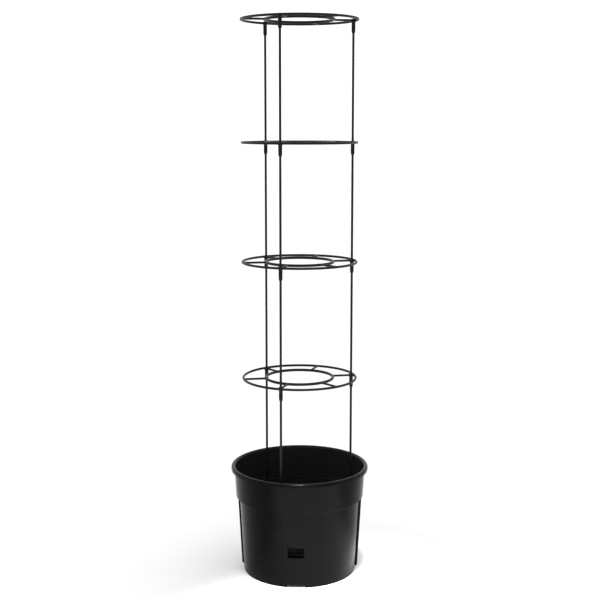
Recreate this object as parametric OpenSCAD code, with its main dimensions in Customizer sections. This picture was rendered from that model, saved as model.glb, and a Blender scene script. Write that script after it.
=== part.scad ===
// Round planter pot with a stacking ring trellis for climbing plants.
// Three columns of rods stand in sockets in the pot, and four wheel-shaped
// rings hold them together. Each tier, a ring with the three rods below it,
// lifts off the tier under it.
// Frame: +Z up, origin at the centre of the pot's foot, drain window at -Y.
// Angles are measured about +Z from the window, positive towards +X.

/* [Pot] */
// Height of the pot from the ground to the top of its rim
pot_height = 234; // [228:1:246]
// Outside diameter of the rim
rim_d = 297; // [294:1:306]
// Wall thickness
wall = 2.6; // [2.2:0.1:3]
// Height of the shoulder, where the wall steps in below the wide band
shoulder_z = 164; // [154:1:172]
// Depth of the rim's turned-down skirt
lip_drop = 9.5; // [8:0.5:12]

/* [Window] */
// Width of the drain window
window_w = 35; // [28:1:40]
// Height of the drain window
window_h = 21; // [18:1:24]
// Height of the window's sill above the ground
window_z = 66; // [57:1:80]

/* [Trellis] */
// Centreline diameter of each ring's outer bar
ring_d = 241.2; // [236:0.2:242]
// Centreline diameter of each ring's inner bar
inner_ring_d = 143; // [120:1:160]
// Height of the lowest ring's centreline above the ground
first_ring_z = 427; // [380:1:450]
// Distance between one ring and the next
tier_pitch = 250.5; // [200:0.5:260]
// Angle of the front rod about the pot's axis
leg_angle = -16.3; // [-20:0.1:-12]

/* [Bars] */
// Diameter of the rods
rod_d = 5; // [4.4:0.1:5.4]
// Thickness of a ring's outer bar
outer_bar_d = 5.2; // [4.8:0.1:5.8]
// Thickness of a ring's inner bar
inner_bar_d = 6; // [5.2:0.1:6.6]
// Thickness of the six spokes
spoke_d = 4.6; // [4:0.1:4.8]

/* [Hidden] */

// Colours of the black plastic mouldings and of the coated rods
plastic = [0.09, 0.09, 0.10];
coating = [0.12, 0.12, 0.12];

// Facets on the pot and rings, on bars and rods, and on the smallest rounds
fn_large = 144;
fn_bar = 32;
fn_small = 24;
// Overlap that joins or cuts solids without leaving coincident faces
eps = 1;

// Legs, numbered in the order front, right, back
legs = 3;
front = 0;
right = 1;
back = 2;
leg_step = 360 / legs;

// Pot wall: outside radii and heights from the foot up
rim_r = rim_d / 2;
lip_out = 6.5;
lip_gap = (lip_out - wall) / 2;
lip_round = lip_gap + wall;
lip_centre_r = rim_r - lip_round;
lip_centre_z = pot_height - lip_round;
lip_steps = 12;
band_low_r = rim_r - lip_out - 3.8;
shoulder_rise = 2.5;
ledge_t = 2;
waist_r = band_low_r - 7.7;
foot_r = waist_r - 8.7;
foot_chamfer = 0.8;

// Floor, raised above the ground on the foot ring
floor_t = 3;
floor_z = 7.5;
floor_top = floor_z + floor_t;
drain_count = 6;
drain_r = 4;
drain_circle_r = 60;

// Slots that let water out under the foot ring
notch_w = 40;
notch_h = 5.7;

// Window slats and the drip hood over the window
slat_t = 1.4;
slat_depth = 6;
slat_count = 2;
slat_inset = wall + 0.8;
slat_grip = 3;
hood_h = 5;
hood_out = 2.4;

// Outer fins on the lower wall, at the sides and the back
fin_angles = [90, 180, 270];
fin_t = 2;
fin_out = 5;
fin_foot_z = 3.5;
fin_chamfer = 3;

// Score lines down the outside of the lower wall, one beside each socket
score_offset = 3.8;
score_w = 2.4;
score_depth = 1.1;
score_low_z = 62;

// Rods: each drops loosely into a socket, and its top is held by a sleeve
rod_r = rod_d / 2;
loose_r = rod_r + 0.25;
snug_r = rod_r + 0.05;

// Ring hubs: a blind socket above for the next tier, and a sleeve below
outer_bar_r = outer_bar_d / 2;
inner_bar_r = inner_bar_d / 2;
spoke_r = spoke_d / 2;
spokes = 6;
hub_r = rod_r + 2.3;
hub_bite = 0.5;
hub_half = 3.2;
leg_r = ring_d / 2 - outer_bar_r - hub_r + hub_bite;
sleeve_r = rod_r + 1.6;
sleeve_tip_r = rod_r + 0.9;
sleeve_drop = 26;
sleeve_taper = 4.5;
upper_seat = -10;
lower_seat = -12;

// Rod sockets on the floor of the pot
socket_r = rod_r + 2.9;
socket_top = 60;
socket_seat = floor_top + 2.5;
web_t = 2.4;

// Rod ends
end_gap = 0.2;
end_chamfer = 0.5;

// Centreline height of a ring, with the lowest ring as level 1
function ring_z(level) = first_ring_z + (level - 1) * tier_pitch;

// Outside radius of the lower wall at height z
function wall_r(z) = foot_r + (waist_r - foot_r) * z / shoulder_z;

// Points on an arc about (cx, cy), from angle a0 to a1
function arc(cx, cy, r, a0, a1) = [
    for (i = [0 : lip_steps])
        let (a = a0 + (a1 - a0) * i / lip_steps)
            [cx + r * cos(a), cy + r * sin(a)]
];

// Turns its children to an angle about the pot's axis, with +X pointing out
module at_angle(angle) {
    rotate([0, 0, angle - 90]) children();
}

// Closed section of the pot: foot, wall, shoulder, turned-down lip and floor
module pot_section() {
    polygon(concat(
        [[0, floor_z], [foot_r - wall, floor_z], [foot_r - wall, 0]],
        [[foot_r - foot_chamfer, 0], [foot_r, foot_chamfer]],
        [[waist_r, shoulder_z], [band_low_r, shoulder_z + shoulder_rise]],
        arc(lip_centre_r, lip_centre_z, lip_gap, 180, 0),
        [[rim_r - wall, pot_height - lip_drop], [rim_r, pot_height - lip_drop]],
        arc(lip_centre_r, lip_centre_z, lip_round, 0, 180),
        [[band_low_r - wall, shoulder_z + shoulder_rise + ledge_t]],
        [[waist_r - wall, shoulder_z + ledge_t]],
        [[wall_r(floor_top) - wall, floor_top], [0, floor_top]]
    ));
}

// Side view of one outer fin, from the foot up into the shoulder
module fin_section() {
    top_z = shoulder_z + shoulder_rise * fin_out / (band_low_r - waist_r) + 0.8;
    foot_out = wall_r(fin_foot_z) + fin_out;
    polygon([
        [wall_r(fin_foot_z) - wall / 2, fin_foot_z],
        [foot_out - fin_chamfer, fin_foot_z],
        [foot_out, fin_foot_z + fin_chamfer],
        [waist_r + fin_out, shoulder_z],
        [waist_r + fin_out, top_z],
        [waist_r - wall / 2, shoulder_z + 0.5]
    ]);
}

module fins() {
    for (angle = fin_angles)
        at_angle(angle)
            rotate([90, 0, 0])
                translate([0, 0, -fin_t / 2])
                    linear_extrude(fin_t) fin_section();
}

// Cutter for one score line, from above the window's sill to the shoulder
module score_line() {
    high_z = shoulder_z - 1;
    rotate([90, 0, 0])
        translate([0, 0, -score_w / 2])
            linear_extrude(score_w)
                polygon([
                    [wall_r(score_low_z) - score_depth, score_low_z],
                    [wall_r(score_low_z) + eps, score_low_z],
                    [wall_r(high_z) + eps, high_z],
                    [wall_r(high_z) - score_depth, high_z]
                ]);
}

// Slats across the window that hold the soil back
module slats() {
    y_out = -wall_r(window_z + window_h / 2) + slat_inset;
    gap = window_h / (slat_count + 1);
    for (i = [1 : slat_count])
        translate([-window_w / 2 - slat_grip, y_out, window_z + gap * i - slat_t / 2])
            cube([window_w + 2 * slat_grip, slat_depth, slat_t]);
}

// Sloping hood above the window
module hood() {
    top = window_z + window_h;
    face = wall_r(top);
    translate([-window_w / 2, 0, 0])
        rotate([90, 0, 90])
            linear_extrude(window_w)
                polygon([
                    [-face - hood_out, top],
                    [-face + wall, top],
                    [-face + wall, top + hood_h + 1],
                    [-face - hood_out + 1.6, top + hood_h]
                ]);
}

// Socket on the floor for one rod, tied to the wall by a web
module socket() {
    translate([leg_r, 0, floor_z + eps])
        cylinder(h = socket_top - floor_z - eps, r = socket_r, $fn = fn_bar);
    translate([leg_r, -web_t / 2, floor_z + eps])
        cube([wall_r(0) - wall / 2 - leg_r, web_t, socket_top - floor_z - eps - 4]);
}

module pot() {
    color(plastic)
        difference() {
            union() {
                rotate_extrude($fn = fn_large) pot_section();
                fins();
                hood();
                for (i = [0 : legs - 1]) at_angle(leg_angle + i * leg_step) socket();
            }
            translate([-window_w / 2, -rim_r, window_z])
                cube([window_w, rim_r - leg_r + socket_r, window_h]);
            translate([-notch_w / 2, -rim_r, -eps])
                cube([notch_w, rim_d, notch_h + eps]);
            for (i = [0 : legs - 1]) at_angle(leg_angle + i * leg_step) {
                translate([leg_r, 0, socket_seat])
                    cylinder(h = socket_top, r = loose_r, $fn = fn_bar);
                rotate([0, 0, score_offset]) score_line();
            }
            for (i = [0 : drain_count - 1]) at_angle(i * 360 / drain_count) {
                translate([drain_circle_r, 0, 0])
                    cylinder(h = floor_top + eps, r = drain_r, $fn = fn_bar);
            }
        }
    color(plastic) slats();
}

// Round bar bent into a full circle
module hoop(circle_r, bar_r) {
    rotate_extrude($fn = fn_large)
        translate([circle_r, 0]) circle(r = bar_r, $fn = fn_bar);
}

// Outside of one hub with its tapered sleeve below
module hub() {
    translate([0, 0, -hub_half])
        cylinder(h = 2 * hub_half, r = hub_r, $fn = fn_bar);
    translate([0, 0, -sleeve_drop + sleeve_taper])
        cylinder(h = sleeve_drop - sleeve_taper, r = sleeve_r, $fn = fn_bar);
    translate([0, 0, -sleeve_drop])
        cylinder(h = sleeve_taper, r1 = sleeve_tip_r, r2 = sleeve_r, $fn = fn_bar);
}

// Blind holes of one hub, for the rod above and the rod below
module hub_holes() {
    translate([0, 0, upper_seat])
        cylinder(h = hub_half - upper_seat + eps, r = loose_r, $fn = fn_bar);
    translate([0, 0, -sleeve_drop - eps])
        cylinder(h = sleeve_drop + eps + lower_seat, r = snug_r, $fn = fn_bar);
}

module ring(level) {
    color(plastic)
        translate([0, 0, ring_z(level)])
            difference() {
                union() {
                    hoop(ring_d / 2, outer_bar_r);
                    hoop(inner_ring_d / 2, inner_bar_r);
                    for (i = [0 : spokes - 1]) at_angle(leg_angle + i * 360 / spokes) {
                        translate([inner_ring_d / 2, 0, 0])
                            rotate([0, 90, 0])
                                cylinder(h = (ring_d - inner_ring_d) / 2, r = spoke_r,
                                         $fn = fn_bar);
                    }
                    for (i = [0 : legs - 1]) at_angle(leg_angle + i * leg_step) {
                        translate([leg_r, 0, 0]) hub();
                    }
                }
                for (i = [0 : legs - 1]) at_angle(leg_angle + i * leg_step) {
                    translate([leg_r, 0, 0]) hub_holes();
                }
            }
}

// Rod below one ring: it stands in the pot on level 1, and in a hub above that
module rod(level, leg) {
    seat = level == 1 ? socket_seat : ring_z(level - 1) + upper_seat;
    low = seat + end_gap;
    high = ring_z(level) + lower_seat - end_gap;
    color(coating)
        at_angle(leg_angle + leg * leg_step)
            translate([leg_r, 0, low]) {
                cylinder(h = end_chamfer, r1 = rod_r - end_chamfer, r2 = rod_r,
                         $fn = fn_small);
                translate([0, 0, end_chamfer])
                    cylinder(h = high - low - 2 * end_chamfer, r = rod_r, $fn = fn_small);
                translate([0, 0, high - low - end_chamfer])
                    cylinder(h = end_chamfer, r1 = rod_r, r2 = rod_r - end_chamfer,
                             $fn = fn_small);
            }
}

pot();
ring(1);  // ring_1
rod(1, front);  // rod_1_front
rod(1, right);  // rod_1_right
rod(1, back);  // rod_1_back
ring(2);  // ring_2
rod(2, front);  // rod_2_front
rod(2, right);  // rod_2_right
rod(2, back);  // rod_2_back
ring(3);  // ring_3
rod(3, front);  // rod_3_front
rod(3, right);  // rod_3_right
rod(3, back);  // rod_3_back
ring(4);  // crown_ring
rod(4, front);  // rod_4_front
rod(4, right);  // rod_4_right
rod(4, back);  // rod_4_back
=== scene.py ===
import math

import bmesh
import bpy
from mathutils import Matrix, Vector


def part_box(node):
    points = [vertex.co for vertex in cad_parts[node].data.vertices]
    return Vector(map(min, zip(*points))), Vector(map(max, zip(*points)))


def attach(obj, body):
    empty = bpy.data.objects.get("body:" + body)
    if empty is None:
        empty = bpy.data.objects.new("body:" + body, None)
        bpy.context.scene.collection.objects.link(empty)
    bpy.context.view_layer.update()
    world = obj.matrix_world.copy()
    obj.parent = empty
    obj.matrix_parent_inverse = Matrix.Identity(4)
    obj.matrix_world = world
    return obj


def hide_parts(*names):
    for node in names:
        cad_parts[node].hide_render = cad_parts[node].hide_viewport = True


# Visual model of a round planter pot with a stacking ring trellis, built around the packed
# frame: one finer mesh for each CAD node, with its material, and a floor, lights and a camera.

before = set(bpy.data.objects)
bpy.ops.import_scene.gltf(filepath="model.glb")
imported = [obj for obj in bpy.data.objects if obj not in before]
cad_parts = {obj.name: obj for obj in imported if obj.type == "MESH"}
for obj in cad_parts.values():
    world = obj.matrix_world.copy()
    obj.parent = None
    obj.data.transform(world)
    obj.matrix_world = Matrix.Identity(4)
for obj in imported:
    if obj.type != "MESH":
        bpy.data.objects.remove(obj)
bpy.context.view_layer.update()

# ---------------------------------------------------------------- measures
# Metres throughout, in the row frame: +Z up, pot's axis at X = Y = 0, window at -Y.

MM = 0.001
SIDES = ("front", "right", "back")
TIERS = (1, 2, 3, 4)
RINGS = ("ring_1", "ring_2", "ring_3", "crown_ring")

pot_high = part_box("pot")[1]
RIM_R = pot_high.x
POT_H = pot_high.z

# How far a piece or a cutter reaches past the surface that it joins or cuts
OVERLAP = 1 * MM

# Pot wall, named as in the CAD
WALL = 2.6 * MM
LIP_OUT = 6.5 * MM
LIP_DROP = 9.5 * MM
LIP_GAP = (LIP_OUT - WALL) / 2
LIP_ROUND = LIP_GAP + WALL
SHOULDER_Z = 164 * MM
SHOULDER_RISE = 2.5 * MM
LEDGE_T = 2 * MM
BAND_TOP_R = RIM_R - LIP_OUT
BAND_LOW_R = BAND_TOP_R - 3.8 * MM
WAIST_R = BAND_LOW_R - 7.7 * MM
FOOT_R = WAIST_R - 8.7 * MM
FLOOR_Z = 7.5 * MM
FLOOR_TOP = 10.5 * MM
DRAIN_COUNT = 6
DRAIN_R = 4 * MM
DRAIN_CIRCLE_R = 60 * MM
DRAIN_SIDES = 30

# Window, its slats and hood, and the notches under the foot
WINDOW_W = 35 * MM
WINDOW_H = 21 * MM
WINDOW_Z = 66 * MM
SLAT_COUNT = 2
SLAT_T = 1.4 * MM
SLAT_DEPTH = 6 * MM
SLAT_INSET = 3.4 * MM
SLAT_GRIP = 3 * MM
HOOD_H = 5 * MM
HOOD_OUT = 2.4 * MM
HOOD_SLOPE = 1.6 * MM
HOOD_ROOT = 0.7 * WALL
NOTCH_W = 40 * MM
NOTCH_H = 5.7 * MM

# Fins and score lines on the lower wall. Each line is SCORE_OFFSET degrees from a leg.
FIN_ANGLES = (90, 180, 270)
FIN_T = 2 * MM
FIN_OUT = 5 * MM
FIN_FOOT_Z = 3.5 * MM
FIN_CHAMFER = 3 * MM
FIN_LAP = 0.8 * MM
FIN_ROOT_RISE = 0.5 * MM
SCORE_OFFSET = 3.8
SCORE_W = 2.4 * MM
SCORE_DEPTH = 1.1 * MM
SCORE_LOW_Z = 62 * MM
SCORE_HIGH_Z = SHOULDER_Z - 1 * MM

SOCKET_TOP = 60 * MM
SOCKET_SEAT = FLOOR_TOP + 2.5 * MM
WEB_T = 2.4 * MM
WEB_DROP = 4 * MM

# Rods and the places of the three legs, from the frame
rod_low, rod_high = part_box("rod_1_front")
ROD_R = (rod_high.x - rod_low.x) / 2
LOOSE_R = ROD_R + 0.25 * MM
SNUG_R = ROD_R + 0.05 * MM
SOCKET_R = ROD_R + 2.9 * MM
leg = (rod_low + rod_high) / 2
LEG_R = math.hypot(leg.x, leg.y)
LEG_ANGLE = math.degrees(math.atan2(leg.x, -leg.y))
LEG_ANGLES = [LEG_ANGLE + 360 * i / len(SIDES) for i in range(len(SIDES))]

# Rings: bars, hubs and sleeves
ring_low, ring_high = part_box("ring_1")
OUTER_BAR_R = 2.6 * MM
INNER_BAR_R = 3 * MM
SPOKE_R = 2.3 * MM
OUTER_R = (ring_high.x - ring_low.x) / 2 - OUTER_BAR_R
INNER_R = 71.5 * MM
SPOKES = 6
HUB_HALF = 3.2 * MM
HUB_R = ROD_R + 2.3 * MM
SLEEVE_R = ROD_R + 1.6 * MM
SLEEVE_TIP_R = ROD_R + 0.9 * MM
SLEEVE_DROP = 26 * MM
SLEEVE_TAPER = 4.5 * MM
UPPER_SEAT = -10 * MM
LOWER_SEAT = -12 * MM


def wall_r(z):
    """Outside radius of the lower wall at height z."""
    return FOOT_R + (WAIST_R - FOOT_R) * z / SHOULDER_Z


# ---------------------------------------------------------------- camera

CAMERA_ANGLE = 3.5
CAMERA_DISTANCE = 2.395
CAMERA_HEIGHT = 0.968
CAMERA_PITCH = 8.85
CAMERA_SIDE = 0.001
LENS_MM = 68.18
SENSOR_MM = 36


def make_camera():
    """A level camera in front of the pot and a little to its right, tipped down."""
    data = bpy.data.cameras.new("camera")
    data.lens = LENS_MM
    data.sensor_width = SENSOR_MM
    camera = bpy.data.objects.new("camera", data)
    turn = math.radians(CAMERA_ANGLE)
    out = Vector((math.sin(turn), -math.cos(turn), 0))
    side = Vector((math.cos(turn), math.sin(turn), 0))
    up = Vector((0, 0, CAMERA_HEIGHT))
    camera.location = out * CAMERA_DISTANCE + side * CAMERA_SIDE + up
    camera.rotation_euler = (math.radians(90 - CAMERA_PITCH), 0, turn)
    bpy.context.scene.collection.objects.link(camera)
    bpy.context.scene.camera = camera


make_camera()


# ---------------------------------------------------------------- mesh tools

CORNER_STEPS = 6
BEVEL_STEPS = 3
CRISP_ANGLE = 32
SAME_POINT = 1e-7


def polar(angle, radius):
    """Point on the ground at an angle about the pot's axis, from the window and towards +X."""
    a = math.radians(angle)
    return Vector((radius * math.sin(a), -radius * math.cos(a), 0))


def moved_to(angle, radius):
    """Matrix that moves the pot's axis to that point."""
    return Matrix.Translation(polar(angle, radius))


def at_angle(angle):
    """Matrix that turns +X to point out of the axis at that angle."""
    return Matrix.Rotation(math.radians(angle - 90), 4, "Z")


def rounded(corners):
    """Outline through (x, y, radius) corners, each rounded by its radius."""
    outline = []
    for i, (x, y, radius) in enumerate(corners):
        corner = Vector((x, y))
        if radius == 0:
            outline.append(corner)
            continue
        before = Vector(corners[i - 1][:2]) - corner
        after = Vector(corners[(i + 1) % len(corners)][:2]) - corner
        half = before.angle(after) / 2
        to_centre = (before.normalized() + after.normalized()).normalized()
        centre = corner + to_centre * (radius / math.sin(half))
        tangent = radius / math.tan(half)
        start = corner + before.normalized() * tangent - centre
        end = corner + after.normalized() * tangent - centre
        sweep = start.angle_signed(end)
        for k in range(CORNER_STEPS + 1):
            turn = Matrix.Rotation(-sweep * k / CORNER_STEPS, 2)
            outline.append(centre + turn @ start)
    return outline


def new_object(name, bm):
    """Object of a finished bmesh, with outward normals."""
    bmesh.ops.remove_doubles(bm, verts=bm.verts, dist=SAME_POINT)
    bmesh.ops.recalc_face_normals(bm, faces=bm.faces)
    mesh = bpy.data.meshes.new(name)
    bm.to_mesh(mesh)
    bm.free()
    made = bpy.data.objects.new(name, mesh)
    bpy.context.scene.collection.objects.link(made)
    return made


def lathe_into(bm, outline, segments, matrix=Matrix()):
    """Turns a closed (radius, z) outline about Z. Radius 0 makes a pole."""
    rings = []
    for r, z in outline:
        if r < SAME_POINT:
            rings.append([bm.verts.new(matrix @ Vector((0, 0, z)))])
            continue
        ring = []
        for i in range(segments):
            a = 2 * math.pi * i / segments
            ring.append(bm.verts.new(matrix @ Vector((r * math.cos(a), r * math.sin(a), z))))
        rings.append(ring)
    for a, b in zip(rings, rings[1:] + rings[:1]):
        if len(a) == 1 and len(b) == 1:
            continue
        for i in range(segments):
            j = (i + 1) % segments
            corners = [a[i % len(a)], a[j % len(a)], b[j % len(b)], b[i % len(b)]]
            bm.faces.new(list(dict.fromkeys(corners)))


def prism_into(bm, outline, thickness, matrix, bevel=0.0):
    """Extrudes an XZ outline to both sides of Y = 0, with its edges bevelled."""
    half = thickness / 2
    near = [bm.verts.new(matrix @ Vector((x, -half, z))) for x, z in outline]
    far = [bm.verts.new(matrix @ Vector((x, half, z))) for x, z in outline]
    made = [bm.faces.new(near), bm.faces.new(far[::-1])]
    count = len(outline)
    for i in range(count):
        j = (i + 1) % count
        made.append(bm.faces.new([near[j], near[i], far[i], far[j]]))
    if bevel:
        caps = list(made[0].edges) + list(made[1].edges)
        bmesh.ops.bevel(bm, geom=caps, offset=bevel, segments=BEVEL_STEPS, profile=0.5,
                        affect="EDGES", clamp_overlap=True)


def combine(target, other, operation):
    """Applies a boolean of other to target, and deletes other."""
    modifier = target.modifiers.new("combine", "BOOLEAN")
    modifier.operation = operation
    modifier.solver = "EXACT"
    modifier.object = other
    graph = bpy.context.evaluated_depsgraph_get()
    mesh = bpy.data.meshes.new_from_object(target.evaluated_get(graph))
    target.modifiers.remove(modifier)
    mesh.name = target.data.name
    target.data = mesh
    bpy.data.objects.remove(other)
    return target


def smooth(piece):
    """Smooth shading, with edges sharper than CRISP_ANGLE degrees kept crisp."""
    piece.data.shade_smooth()
    piece.data.set_sharp_from_angle(angle=math.radians(CRISP_ANGLE))
    normals = piece.modifiers.new("normals", "WEIGHTED_NORMAL")
    normals.keep_sharp = True
    return piece


# ---------------------------------------------------------------- pot

POT_SEGMENTS = 240
TUBE_SIDES = 32
# Shares of the full radius that keep the lip's neighbouring arcs from touching
LIP_ARC = 0.99
RIM_ARC = 0.97


def pot_outline():
    """Section of the shell: foot, wall, shoulder, turned-down lip and floor."""
    lip_in = RIM_R - WALL
    lip_under = POT_H - WALL
    floor_r = wall_r(FLOOR_TOP) - WALL
    return rounded([
        (0, FLOOR_Z, 0),
        (FOOT_R - WALL, FLOOR_Z, 1 * MM),
        (FOOT_R - WALL, 0, 0.4 * MM),
        (FOOT_R, 0, 1 * MM),
        (WAIST_R, SHOULDER_Z, 1.2 * MM),
        (BAND_LOW_R, SHOULDER_Z + SHOULDER_RISE, 0.9 * MM),
        (BAND_TOP_R, lip_under, LIP_GAP * LIP_ARC),
        (lip_in, lip_under, LIP_GAP * LIP_ARC),
        (lip_in, POT_H - LIP_DROP, 0.9 * MM),
        (RIM_R, POT_H - LIP_DROP, 0.9 * MM),
        (RIM_R, POT_H, LIP_ROUND * LIP_ARC),
        (BAND_TOP_R - WALL, POT_H, LIP_ROUND * RIM_ARC),
        (BAND_LOW_R - WALL, SHOULDER_Z + SHOULDER_RISE + LEDGE_T, 1.2 * MM),
        (WAIST_R - WALL, SHOULDER_Z + LEDGE_T, 1.5 * MM),
        (floor_r, FLOOR_TOP, 4 * MM),
        (0, FLOOR_TOP, 0),
    ])


def fin_outline():
    """Side view of one outer fin, from the foot up into the shoulder."""
    foot_out = wall_r(FIN_FOOT_Z) + FIN_OUT
    top_z = SHOULDER_Z + SHOULDER_RISE * FIN_OUT / (BAND_LOW_R - WAIST_R) + FIN_LAP
    return rounded([
        (wall_r(FIN_FOOT_Z) - WALL / 2, FIN_FOOT_Z, 0),
        (foot_out - FIN_CHAMFER, FIN_FOOT_Z, 0),
        (foot_out, FIN_FOOT_Z + FIN_CHAMFER, 2 * MM),
        (WAIST_R + FIN_OUT, SHOULDER_Z, 0),
        (WAIST_R + FIN_OUT, top_z, 0),
        (WAIST_R - WALL / 2, SHOULDER_Z + FIN_ROOT_RISE, 0),
    ])


def score_outline():
    """Side view of the cutter for one score line."""
    return [
        (wall_r(SCORE_LOW_Z) - SCORE_DEPTH, SCORE_LOW_Z),
        (wall_r(SCORE_LOW_Z) + OVERLAP, SCORE_LOW_Z),
        (wall_r(SCORE_HIGH_Z) + OVERLAP, SCORE_HIGH_Z),
        (wall_r(SCORE_HIGH_Z) - SCORE_DEPTH, SCORE_HIGH_Z),
    ]


def hood_outline():
    """Side view of the hood, with +X pointing out through the window."""
    top = WINDOW_Z + WINDOW_H
    face = wall_r(top)
    return rounded([
        (face + HOOD_OUT, top, 0.6 * MM),
        (face + HOOD_OUT - HOOD_SLOPE, top + HOOD_H, 0.6 * MM),
        (face - HOOD_ROOT, top + HOOD_H + OVERLAP, 0),
        (face - HOOD_ROOT, top, 0),
    ])


def box_outline(x0, x1, z0, z1, radius=0.0):
    """Rectangle in XZ with rounded corners."""
    return rounded([(x0, z0, radius), (x1, z0, radius), (x1, z1, radius), (x0, z1, radius)])


def pot_cutters():
    """Everything cut out of the plain shell."""
    bm = bmesh.new()
    across = at_angle(90)
    window = box_outline(-WINDOW_W / 2, WINDOW_W / 2, WINDOW_Z, WINDOW_Z + WINDOW_H, 1.2 * MM)
    depth = 30 * MM
    middle = Matrix.Translation((0, -wall_r(WINDOW_Z), 0))
    prism_into(bm, window, depth, middle @ across)
    reach = 2 * RIM_R
    notch = box_outline(-NOTCH_W / 2, NOTCH_W / 2, -NOTCH_H, NOTCH_H, 1.5 * MM)
    prism_into(bm, notch, reach, across)
    for angle in LEG_ANGLES:
        prism_into(bm, score_outline(), SCORE_W, at_angle(angle + SCORE_OFFSET), bevel=0.2 * MM)
    hole = [(0, FLOOR_Z - OVERLAP), (DRAIN_R, FLOOR_Z - OVERLAP),
            (DRAIN_R, FLOOR_TOP + OVERLAP), (0, FLOOR_TOP + OVERLAP)]
    for i in range(DRAIN_COUNT):
        lathe_into(bm, hole, DRAIN_SIDES, moved_to(360 * i / DRAIN_COUNT, DRAIN_CIRCLE_R))
    return new_object("pot_cutters", bm)


def pot_additions():
    """Fins, hood, slats and socket tubes, none touching another."""
    bm = bmesh.new()
    for angle in FIN_ANGLES:
        prism_into(bm, fin_outline(), FIN_T, at_angle(angle), bevel=0.5 * MM)
    prism_into(bm, hood_outline(), WINDOW_W, at_angle(0), bevel=0.5 * MM)
    out = wall_r(WINDOW_Z + WINDOW_H / 2) - SLAT_INSET
    for i in range(1, SLAT_COUNT + 1):
        z = WINDOW_Z + WINDOW_H * i / (SLAT_COUNT + 1)
        slat = box_outline(out - SLAT_DEPTH, out, z - SLAT_T / 2, z + SLAT_T / 2, 0.5 * MM)
        prism_into(bm, slat, WINDOW_W + 2 * SLAT_GRIP, at_angle(0))
    tube = rounded([
        (0, FLOOR_Z + OVERLAP, 0),
        (SOCKET_R, FLOOR_Z + OVERLAP, 0),
        (SOCKET_R, SOCKET_TOP, 1 * MM),
        (0, SOCKET_TOP, 0),
    ])
    for angle in LEG_ANGLES:
        lathe_into(bm, tube, TUBE_SIDES, moved_to(angle, LEG_R))
    return new_object("pot_additions", bm)


def socket_webs():
    """Webs that tie the socket tubes to the wall."""
    bm = bmesh.new()
    web = box_outline(LEG_R, wall_r(0) - WALL / 2, FLOOR_Z + OVERLAP, SOCKET_TOP - WEB_DROP)
    for angle in LEG_ANGLES:
        prism_into(bm, web, WEB_T, at_angle(angle))
    return new_object("socket_webs", bm)


def socket_bores():
    """Cutter for the rod sockets, with a lead-in at each mouth."""
    bm = bmesh.new()
    lead = 0.6 * MM
    bore = [(0, SOCKET_SEAT), (LOOSE_R, SOCKET_SEAT), (LOOSE_R, SOCKET_TOP - lead),
            (LOOSE_R + 2 * lead, SOCKET_TOP + lead), (0, SOCKET_TOP + lead)]
    for angle in LEG_ANGLES:
        lathe_into(bm, bore, TUBE_SIDES, moved_to(angle, LEG_R))
    return new_object("socket_bores", bm)


def make_pot():
    """Pot with every opening cut and every small part joined on."""
    bm = bmesh.new()
    lathe_into(bm, pot_outline(), POT_SEGMENTS)
    shell = new_object("pot_shell", bm)
    combine(shell, pot_cutters(), "DIFFERENCE")
    combine(shell, pot_additions(), "UNION")
    combine(shell, socket_webs(), "UNION")
    combine(shell, socket_bores(), "DIFFERENCE")
    return smooth(shell)


# ---------------------------------------------------------------- rings

HOOP_SEGMENTS = 216
BAR_SIDES = 20
HUB_SIDES = 36
SPOKE_STATIONS = 28
# Fillets where the spokes meet the bars: how far they reach, and how much they thicken
FLARE = 3.2 * MM
FLARE_RISE = 0.05 * MM


def circle_outline(centre_r, radius, sides):
    """Round section of a hoop."""
    points = []
    for i in range(sides):
        a = 2 * math.pi * i / sides
        points.append((centre_r + radius * math.cos(a), radius * math.sin(a)))
    return points


def spoke_into(bm, matrix):
    """Spoke along +X that widens into the bars at both ends like a fillet."""
    start = INNER_R
    end = OUTER_R
    rings = []
    for k in range(SPOKE_STATIONS + 1):
        x = start + (end - start) * k / SPOKE_STATIONS
        # Distance to the nearer bar, then closeness from 0 out of the fillet to 1 at the bar
        near = min(x - start - INNER_BAR_R, end - OUTER_BAR_R - x)
        close = max(0.0, min(1.0, 1 - near / FLARE))
        spread = FLARE * (1 - math.sqrt(1 - close * close))
        wide = SPOKE_R + spread
        tall = SPOKE_R + min(spread, FLARE_RISE)
        ring = []
        for i in range(BAR_SIDES):
            a = 2 * math.pi * (i + 0.5) / BAR_SIDES
            ring.append(bm.verts.new(matrix @ Vector((x, wide * math.cos(a), tall * math.sin(a)))))
        rings.append(ring)
    for a, b in zip(rings, rings[1:]):
        for i in range(BAR_SIDES):
            j = (i + 1) % BAR_SIDES
            bm.faces.new([a[i], a[j], b[j], b[i]])
    bm.faces.new(rings[0][::-1])
    bm.faces.new(rings[-1])


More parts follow.
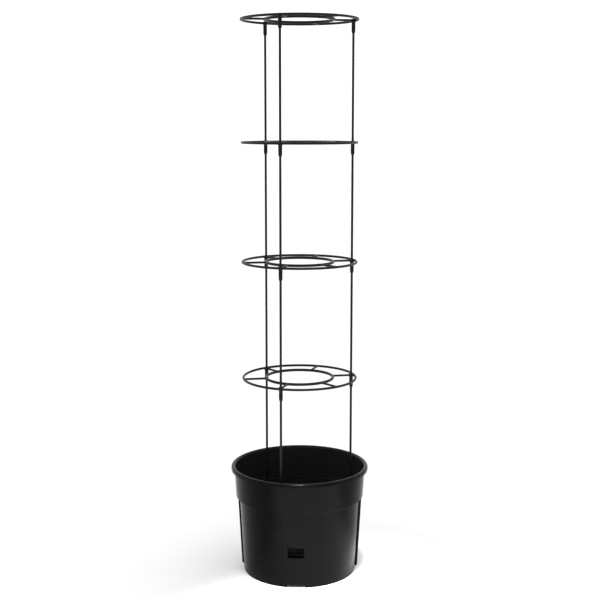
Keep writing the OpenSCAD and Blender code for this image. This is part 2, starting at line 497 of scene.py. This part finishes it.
def ring_blank():
    """Ring without its rod holes, centred on Z = 0."""
    bm = bmesh.new()
    lathe_into(bm, circle_outline(OUTER_R, OUTER_BAR_R, BAR_SIDES), HOOP_SEGMENTS)
    lathe_into(bm, circle_outline(INNER_R, INNER_BAR_R, BAR_SIDES), HOOP_SEGMENTS)
    blank = new_object("ring_blank", bm)
    bm = bmesh.new()
    for i in range(SPOKES):
        spoke_into(bm, at_angle(LEG_ANGLE + 360 * i / SPOKES))
    combine(blank, new_object("spokes", bm), "UNION")
    bm = bmesh.new()
    hub = rounded([
        (0, -SLEEVE_DROP, 0),
        (SLEEVE_TIP_R, -SLEEVE_DROP, 0.25 * MM),
        (SLEEVE_R, -SLEEVE_DROP + SLEEVE_TAPER, 3 * MM),
        (SLEEVE_R, -HUB_HALF - 1 * MM, 1.2 * MM),
        (HUB_R, -HUB_HALF, 0.3 * MM),
        (HUB_R, HUB_HALF, 0.9 * MM),
        (0, HUB_HALF, 0),
    ])
    for angle in LEG_ANGLES:
        lathe_into(bm, hub, HUB_SIDES, moved_to(angle, LEG_R))
    return combine(blank, new_object("hubs", bm), "UNION")


def rod_holes():
    """Cutter for the blind holes above and below each hub."""
    bm = bmesh.new()
    lead = 0.35 * MM
    above = [(0, UPPER_SEAT), (LOOSE_R, UPPER_SEAT), (LOOSE_R, HUB_HALF - lead),
             (LOOSE_R + 2 * lead, HUB_HALF + lead), (0, HUB_HALF + lead)]
    below = [(0, -SLEEVE_DROP - lead), (SNUG_R + lead, -SLEEVE_DROP - lead),
             (SNUG_R, -SLEEVE_DROP + lead), (SNUG_R, LOWER_SEAT), (0, LOWER_SEAT)]
    for angle in LEG_ANGLES:
        place = moved_to(angle, LEG_R)
        lathe_into(bm, above, TUBE_SIDES, place)
        lathe_into(bm, below, TUBE_SIDES, place)
    return new_object("rod_holes", bm)


def make_rings():
    """Four rings, one for each tier. The blank itself becomes the last."""
    blank = smooth(combine(ring_blank(), rod_holes(), "DIFFERENCE"))
    rings = []
    for name in RINGS:
        ring = blank
        if name != RINGS[-1]:
            ring = blank.copy()
            ring.data = blank.data.copy()
            bpy.context.scene.collection.objects.link(ring)
        ring.name = name + "_moulding"
        ring.data.name = ring.name
        centre_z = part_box(name)[1].z - HUB_HALF
        ring.data.transform(Matrix.Translation((0, 0, centre_z)))
        rings.append(ring)
    return rings


# ---------------------------------------------------------------- rods

ROD_SIDES = 28


def make_rod(tier, side):
    """Coated steel rod with softly rounded ends."""
    low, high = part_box("rod_%d_%s" % (tier, side))
    centre = (low + high) / 2
    outline = rounded([
        (0, low.z, 0),
        (ROD_R, low.z, 0.8 * MM),
        (ROD_R, high.z, 0.8 * MM),
        (0, high.z, 0),
    ])
    bm = bmesh.new()
    lathe_into(bm, outline, ROD_SIDES, Matrix.Translation((centre.x, centre.y, 0)))
    return smooth(new_object("rod_%d_%s_bar" % (tier, side), bm))


# ---------------------------------------------------------------- materials
# Patterns are laid out in metres on each piece, so a scale of 100 repeats about every 10 mm.

def add(tree, kind, **settings):
    """New node with properties and inputs set by name. A socket given as a value is linked."""
    made = tree.nodes.new(kind)
    for key, value in settings.items():
        if not key[0].isupper():
            setattr(made, key, value)
        elif isinstance(value, bpy.types.NodeSocket):
            tree.links.new(value, made.inputs[key])
        else:
            made.inputs[key].default_value = value
    return made


def position(tree, stretch=(1, 1, 1)):
    """Position on the piece, stretched along each axis."""
    coordinates = add(tree, "ShaderNodeTexCoord").outputs["Object"]
    return add(tree, "ShaderNodeMapping", Vector=coordinates, Scale=stretch).outputs["Vector"]


def noise(tree, scale, detail, stretch=(1, 1, 1), rough=0.5):
    """Noise from 0 to 1 with features of about 1 / scale metres."""
    return add(tree, "ShaderNodeTexNoise", Vector=position(tree, stretch), Scale=scale,
               Detail=detail, Roughness=rough).outputs["Fac"]


def ramp(tree, value, low, high, start=0.0, end=1.0):
    """Maps low..high of a value to start..end, smoothly and clamped."""
    made = add(tree, "ShaderNodeMapRange", interpolation_type="SMOOTHSTEP", Value=value)
    for key, number in (("From Min", low), ("From Max", high), ("To Min", start), ("To Max", end)):
        made.inputs[key].default_value = number
    return made.outputs["Result"]


def maths(tree, operation, first, second):
    """Result of a two-input calculation on sockets or numbers."""
    made = add(tree, "ShaderNodeMath", operation=operation)
    for socket, value in zip(made.inputs, (first, second)):
        if isinstance(value, bpy.types.NodeSocket):
            tree.links.new(value, socket)
        else:
            socket.default_value = value
    return made.outputs["Value"]


# The Mix node has sockets of the same name for each kind of data. These are the colour ones.
MIX_FACTOR = 0
MIX_FIRST = 6
MIX_SECOND = 7
MIX_RESULT = 2


def blend(tree, factor, first, second):
    """Mixes two colours by a factor socket."""
    made = add(tree, "ShaderNodeMix", data_type="RGBA")
    tree.links.new(factor, made.inputs[MIX_FACTOR])
    for socket, value in ((made.inputs[MIX_FIRST], first), (made.inputs[MIX_SECOND], second)):
        if isinstance(value, bpy.types.NodeSocket):
            tree.links.new(value, socket)
        else:
            socket.default_value = (*value, 1)
    return made.outputs[MIX_RESULT]


def bump(tree, height, distance, strength, under=None):
    """Bump of a height socket, on top of another normal."""
    made = add(tree, "ShaderNodeBump", Height=height, Distance=distance, Strength=strength)
    if under:
        tree.links.new(under, made.inputs["Normal"])
    return made.outputs["Normal"]


def new_material(name, specular):
    """Material with its tree and shader. Its specular level is one number all over."""
    material = bpy.data.materials.new(name)
    material.use_nodes = True
    shader = material.node_tree.nodes["Principled BSDF"]
    shader.inputs["Specular IOR Level"].default_value = specular
    return material, material.node_tree, shader


def facing_up(tree, low=0.55, high=0.95):
    """How far the surface faces up, from 0 to 1."""
    normal = add(tree, "ShaderNodeNewGeometry").outputs["Normal"]
    return ramp(tree, add(tree, "ShaderNodeSeparateXYZ", Vector=normal).outputs["Z"], low, high)


def facing_in(tree):
    """How far the surface faces the pot's axis, from 0 to 1."""
    flat = add(tree, "ShaderNodeVectorMath", operation="MULTIPLY")
    tree.links.new(position(tree), flat.inputs[0])
    flat.inputs[1].default_value = (1, 1, 0)
    out = add(tree, "ShaderNodeVectorMath", operation="NORMALIZE")
    tree.links.new(flat.outputs["Vector"], out.inputs[0])
    along = add(tree, "ShaderNodeVectorMath", operation="DOT_PRODUCT")
    tree.links.new(out.outputs["Vector"], along.inputs[0])
    tree.links.new(add(tree, "ShaderNodeNewGeometry").outputs["Normal"], along.inputs[1])
    return ramp(tree, along.outputs["Value"], -0.2, -0.8)


def height_of(tree):
    """Height of the point above the ground, in metres, with the piece at rest."""
    return add(tree, "ShaderNodeSeparateXYZ", Vector=position(tree)).outputs["Z"]


def band(tree, value, middle, reach):
    """1 at a value's middle, fading to 0 at reach to either side."""
    away = maths(tree, "ABSOLUTE", maths(tree, "SUBTRACT", value, middle), 0.0)
    return ramp(tree, away, 0.0, reach, 1.0, 0.0)


# How much full dust and full wear add to the roughness, and how far wear stands proud
DUST_DULLS = 0.3
WEAR_DULLS = 0.16
WEAR_DEPTH = 0.03 * MM


def finish_plastic(tree, shader, look, dust, wear):
    """Joins tone, dust, wear, roughness and grain for one black plastic.

    look holds base colours (dark, light, worn, dust), a painted light for faces turned to the
    pot's axis, noise scales (mottle, patch, peel, grain), the least and most roughness (smooth,
    rough) and two bump depths.
    """
    tone = ramp(tree, noise(tree, look["mottle"], 4.0), 0.3, 0.7)
    clean = blend(tree, tone, look["dark"], look["light"])
    # Faces turned to the pot's axis get a lighter colour: painted light on the pot's inside, not the
    # plastic's own colour.
    if "painted_inside_light" in look:
        clean = blend(tree, facing_in(tree), clean, look["painted_inside_light"])
    worn = blend(tree, wear, clean, look["worn"])
    tree.links.new(blend(tree, dust, worn, look["dust"]), shader.inputs["Base Color"])
    patches = ramp(tree, noise(tree, look["patch"], 5.0, rough=0.6), 0.25, 0.75,
                   look["smooth"], look["rough"])
    dull = maths(tree, "ADD", maths(tree, "MULTIPLY", dust, DUST_DULLS),
                 maths(tree, "MULTIPLY", wear, WEAR_DULLS))
    tree.links.new(maths(tree, "ADD", patches, dull), shader.inputs["Roughness"])
    peel = bump(tree, noise(tree, look["peel"], 2.0), look["peel_depth"], 1.0)
    grain = bump(tree, noise(tree, look["grain"], 2.0), look["grain_depth"], 1.0, peel)
    marks = bump(tree, wear, WEAR_DEPTH, 0.5, grain)
    tree.links.new(marks, shader.inputs["Normal"])


def hairlines(tree, scale, stretch, share):
    """Sparse fine scratches: the crests of a stretched noise."""
    lines = noise(tree, scale, 2.0, stretch, 0.4)
    fade = ramp(tree, noise(tree, 14.0, 2.0), 0.45, 0.7)
    return maths(tree, "MULTIPLY", ramp(tree, lines, 1 - share, 1 - share * 0.8), fade)


def pot_material():
    """Satin moulded polypropylene: fine grain, slight waves, scuffs at rim and foot, thin dust, and
    painted light on the faces inside the pot.
    """
    material, tree, shader = new_material("pot_plastic", 0.06)
    height = height_of(tree)
    rim = band(tree, height, POT_H, 12 * MM)
    foot = band(tree, height, 0.0, 30 * MM)
    edge = maths(tree, "MAXIMUM", rim, foot)
    chafe = ramp(tree, noise(tree, 160.0, 6.0, rough=0.7), 0.56, 0.7)
    scuffed = maths(tree, "MULTIPLY", maths(tree, "MULTIPLY", edge, chafe), 0.7)
    scratches = maths(tree, "MULTIPLY", hairlines(tree, 22.0, (1, 1, 18), 0.34), 0.5)
    wear = maths(tree, "MAXIMUM", scuffed, scratches)
    specks = ramp(tree, noise(tree, 420.0, 6.0, rough=0.75), 0.5, 0.72)
    cover = ramp(tree, noise(tree, 12.0, 4.0), 0.3, 0.75, 0.25, 1.0)
    lying = maths(tree, "MAXIMUM", facing_up(tree), maths(tree, "MULTIPLY", foot, 0.35))
    dust = maths(tree, "MULTIPLY", maths(tree, "MULTIPLY", specks, cover), lying)
    finish_plastic(tree, shader, {
        "dark": (0.0010, 0.0010, 0.0011), "light": (0.0016, 0.0016, 0.0017),
        "worn": (0.0070, 0.0070, 0.0070), "dust": (0.036, 0.034, 0.031),
        # Painted light: the lighter colour given to the pot's inside faces.
        "painted_inside_light": (0.0105, 0.0102, 0.0099),
        "mottle": 7.0, "patch": 26.0, "smooth": 0.17, "rough": 0.25,
        "peel": 48.0, "peel_depth": 0.10 * MM, "grain": 1500.0, "grain_depth": 0.012 * MM,
    }, dust, wear)
    return material


def ring_material():
    """The same plastic in thin bars: finer mottling, chafing, and dust along the top."""
    material, tree, shader = new_material("ring_plastic", 0.14)
    chafe = ramp(tree, noise(tree, 90.0, 6.0, rough=0.7), 0.6, 0.74)
    scratches = hairlines(tree, 60.0, (1, 1, 6), 0.3)
    wear = maths(tree, "MAXIMUM", maths(tree, "MULTIPLY", chafe, 0.45), scratches)
    specks = ramp(tree, noise(tree, 600.0, 6.0, rough=0.75), 0.48, 0.7)
    cover = ramp(tree, noise(tree, 16.0, 4.0), 0.3, 0.75, 0.2, 1.0)
    dust = maths(tree, "MULTIPLY", maths(tree, "MULTIPLY", specks, cover), facing_up(tree, 0.7, 1.0))
    finish_plastic(tree, shader, {
        "dark": (0.0030, 0.0030, 0.0031), "light": (0.0044, 0.0044, 0.0045),
        "worn": (0.0070, 0.0070, 0.0069), "dust": (0.016, 0.015, 0.013),
        "mottle": 18.0, "patch": 55.0, "smooth": 0.32, "rough": 0.46,
        "peel": 110.0, "peel_depth": 0.06 * MM, "grain": 1900.0, "grain_depth": 0.012 * MM,
    }, dust, wear)
    return material


def rod_material():
    """Plastic-coated steel rod: drawn lengthwise, with faint lines and small nicks."""
    material, tree, shader = new_material("rod_coating", 0.16)
    drawn = ramp(tree, noise(tree, 900.0, 3.0, (1, 1, 0.02)), 0.35, 0.7)
    nicks = ramp(tree, noise(tree, 240.0, 4.0, (1, 1, 0.35), 0.65), 0.64, 0.74)
    wear = maths(tree, "MAXIMUM", maths(tree, "MULTIPLY", nicks, 0.6),
                 maths(tree, "MULTIPLY", drawn, 0.12))
    specks = ramp(tree, noise(tree, 700.0, 5.0, rough=0.75), 0.55, 0.75)
    dust = maths(tree, "MULTIPLY", maths(tree, "MULTIPLY", specks, 0.35),
                 ramp(tree, noise(tree, 10.0, 3.0), 0.4, 0.7))
    finish_plastic(tree, shader, {
        "dark": (0.0036, 0.0036, 0.0037), "light": (0.0050, 0.0050, 0.0051),
        "worn": (0.0075, 0.0075, 0.0074), "dust": (0.011, 0.0105, 0.0095),
        "mottle": 30.0, "patch": 70.0, "smooth": 0.28, "rough": 0.40,
        "peel": 150.0, "peel_depth": 0.05 * MM, "grain": 2400.0, "grain_depth": 0.008 * MM,
    }, dust, wear)
    return material


def floor_material():
    """Matt white board with a trace of tooth."""
    material, tree, shader = new_material("floor", 0.1)
    tone = ramp(tree, noise(tree, 3.0, 4.0), 0.3, 0.7)
    white = blend(tree, tone, (0.90, 0.90, 0.90), (0.92, 0.92, 0.92))
    tree.links.new(white, shader.inputs["Base Color"])
    tree.links.new(ramp(tree, noise(tree, 40.0, 4.0), 0.3, 0.7, 0.8, 0.95), shader.inputs["Roughness"])
    tree.links.new(bump(tree, noise(tree, 700.0, 3.0), 0.05 * MM, 0.4), shader.inputs["Normal"])
    return material


pot_plastic = pot_material()
ring_plastic = ring_material()
rod_coating = rod_material()


def dress(piece, material, body, cad_node):
    """Gives a piece its material, and ties it to the frame."""
    piece.data.materials.clear()
    piece.data.materials.append(material)
    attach(piece, body)
    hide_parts(cad_node)


dress(make_pot(), pot_plastic, "pot", "pot")
for tier, name, ring in zip(TIERS, RINGS, make_rings()):
    body = "tier_%d" % tier
    dress(ring, ring_plastic, body, name)
    for side in SIDES:
        rod = make_rod(tier, side)
        dress(rod, rod_coating, body, "rod_%d_%s" % (tier, side))


# ---------------------------------------------------------------- stage

FLOOR_HALF = 20
FLOOR_DROP = 0.2 * MM
# The key light's pool ends along a line that runs out from the pot's axis at the edge angle.
# KEY_ALONG and KEY_ACROSS are the box's reach along that line and across it.
KEY_EDGE_ANGLE = -38
KEY_ALONG = (-0.18, 0.78)
KEY_ACROSS = (0.02, 0.78)
KEY_HEIGHT = 1.7
KEY_LEAN = 12
KEY_SPREAD = 9
KEY_POWER = 6.4
SURROUND = 1.18


def make_floor():
    """Large flat floor, a hair below the ground so that it never meets the foot."""
    bm = bmesh.new()
    bmesh.ops.create_grid(bm, x_segments=1, y_segments=1, size=FLOOR_HALF)
    floor = new_object("floor", bm)
    floor.location.z = -FLOOR_DROP
    floor.data.materials.append(floor_material())


def make_key_light():
    """Gridded softbox overhead that leans to the front, with one side in line with the pot."""
    data = bpy.data.lights.new("key_light", "AREA")
    data.shape = "RECTANGLE"
    data.size = KEY_ALONG[1] - KEY_ALONG[0]
    data.size_y = KEY_ACROSS[1] - KEY_ACROSS[0]
    data.spread = math.radians(KEY_SPREAD)
    data.energy = KEY_POWER
    light = bpy.data.objects.new("key_light", data)
    middle = (polar(KEY_EDGE_ANGLE, sum(KEY_ALONG) / 2)
              + polar(KEY_EDGE_ANGLE + 90, sum(KEY_ACROSS) / 2))
    lean = Matrix.Rotation(math.radians(KEY_LEAN), 4, "X")
    light.matrix_world = (Matrix.Translation(middle) @ lean @ Matrix.Translation((0, 0, KEY_HEIGHT))
                          @ at_angle(KEY_EDGE_ANGLE))
    bpy.context.scene.collection.objects.link(light)


def make_surround():
    """White light from all sides."""
    world = bpy.data.worlds.new("world")
    world.use_nodes = True
    background = world.node_tree.nodes["Background"]
    background.inputs["Color"].default_value = (1, 1, 1, 1)
    background.inputs["Strength"].default_value = SURROUND
    bpy.context.scene.world = world


make_floor()
make_key_light()
make_surround()
bpy.context.scene.view_settings.view_transform = "Standard"
